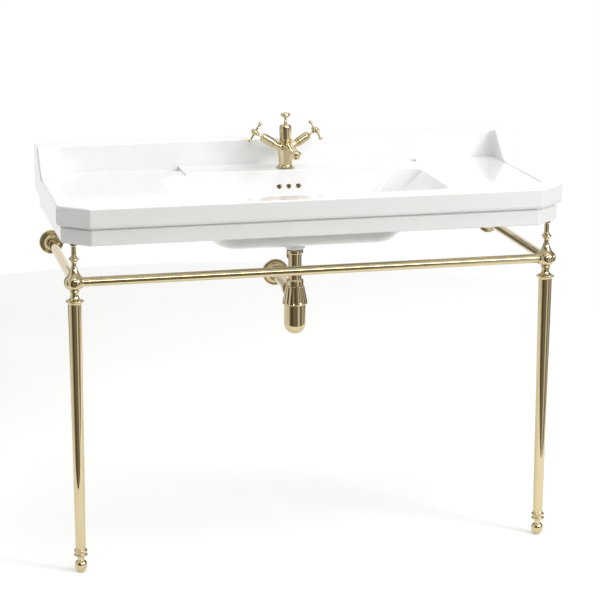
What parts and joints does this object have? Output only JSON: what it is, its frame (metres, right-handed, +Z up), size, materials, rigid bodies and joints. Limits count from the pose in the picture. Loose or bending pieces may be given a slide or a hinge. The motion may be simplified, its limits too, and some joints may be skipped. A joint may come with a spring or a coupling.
{
  "type": "console basin with legs",
  "caption": "Wide white ceramic console basin with upstand, sloping bowl and tap ledge, on a polished brass stand with towel rails, turned legs, cross-handle tap, pop-up waste and bottle trap",
  "frame": {"origin": "on the floor, below the middle of the whole object's bounding box", "axes": "+X runs to the user's right along the basin's length, +Y runs from the user to the wall, +Z is up; the wall face is the plane y = +0.244"},
  "size_m": [1.2, 0.488, 1.0165],
  "materials": {
    "white_glaze": "thick glossy white glaze",
    "polished_brass": "mirror polished, pale champagne gold",
    "plain_brass": "machined, unpolished, out of sight",
    "bare_copper": "drawn copper tube, satin",
    "black_rubber": "matte rubber"
  },
  "bodies": {
    "sink": {"basin": "white_glaze", "overflow_rings": "polished_brass", "waste_body": "polished_brass", "waste_washer": "black_rubber", "waste_backnut": "polished_brass", "waste_tail": "polished_brass", "pivot_nut": "polished_brass", "trap_inlet_nut": "polished_brass", "trap_head": "polished_brass", "trap_dip_tube": "plain_brass", "trap_bottle": "polished_brass", "trap_outlet_nut": "polished_brass", "trap_outlet_pipe": "polished_brass", "waste_rosette": "polished_brass", "tap_body": "polished_brass", "tap_seal": "black_rubber", "tap_dome": "polished_brass", "tap_stud": "plain_brass", "tap_washer": "plain_brass", "tap_nut": "plain_brass", "spout_nozzle": "polished_brass", "front_rail": "polished_brass", "grub_screws": "plain_brass", "hot_valve": "polished_brass", "cold_valve": "polished_brass", "hot_inlet_tail": "bare_copper", "cold_inlet_tail": "bare_copper", "left_side_rail": "polished_brass", "right_side_rail": "polished_brass", "left_wall_plate": "polished_brass", "right_wall_plate": "polished_brass", "left_wall_rosette": "polished_brass", "right_wall_rosette": "polished_brass", "left_corner_fitting": "polished_brass", "right_corner_fitting": "polished_brass", "left_top_post": "polished_brass", "right_top_post": "polished_brass", "left_basin_pad": "black_rubber", "right_basin_pad": "black_rubber", "left_leg_ferrule": "polished_brass", "right_leg_ferrule": "polished_brass", "left_leg_tube": "polished_brass", "right_leg_tube": "polished_brass", "left_foot_collar": "polished_brass", "right_foot_collar": "polished_brass", "left_foot": "polished_brass", "right_foot": "polished_brass"},
    "lift_set": {"lift_knob": "polished_brass", "lift_rod": "polished_brass", "rod_clamp": "plain_brass", "link_strap": "plain_brass"},
    "pivot_arm": {"pivot_rod": "plain_brass"},
    "plug_set": {"plug": "polished_brass"},
    "hot_handle": {"hot_spindle": "polished_brass", "hot_cross_handle": "polished_brass", "hot_index_cap": "polished_brass"},
    "cold_handle": {"cold_spindle": "polished_brass", "cold_cross_handle": "polished_brass", "cold_index_cap": "polished_brass"}
  },
  "joints": [
    {"name": "knob_lift", "type": "slide", "parent": "sink", "child": "lift_set", "axis": [0, 0, 1], "range_m": [0, 0.02]},
    {"name": "pivot_swing", "type": "hinge", "parent": "sink", "child": "pivot_arm", "pos_m": [0, 0.055, 0.676], "axis": [1, 0, 0], "range_deg": [0, 13.02]},
    {"name": "plug_drop", "type": "slide", "parent": "sink", "child": "plug_set", "axis": [0, 0, 1], "range_m": [-0.00685, 0]},
    {"name": "hot_turn", "type": "hinge", "parent": "sink", "child": "hot_handle", "pos_m": [-0.07548, 0.13, 0.97016], "axis": [-0.848, 0, 0.5299], "range_deg": [0, 90]},
    {"name": "cold_turn", "type": "hinge", "parent": "sink", "child": "cold_handle", "pos_m": [0.07548, 0.13, 0.97016], "axis": [0.848, 0, 0.5299], "range_deg": [-90, 0]}
  ],
  "couplings": [
    {"joint": "pivot_swing", "follows": "knob_lift", "rad_per_m": 11.36},
    {"joint": "plug_drop", "follows": "knob_lift", "ratio": -0.34228}
  ]
}
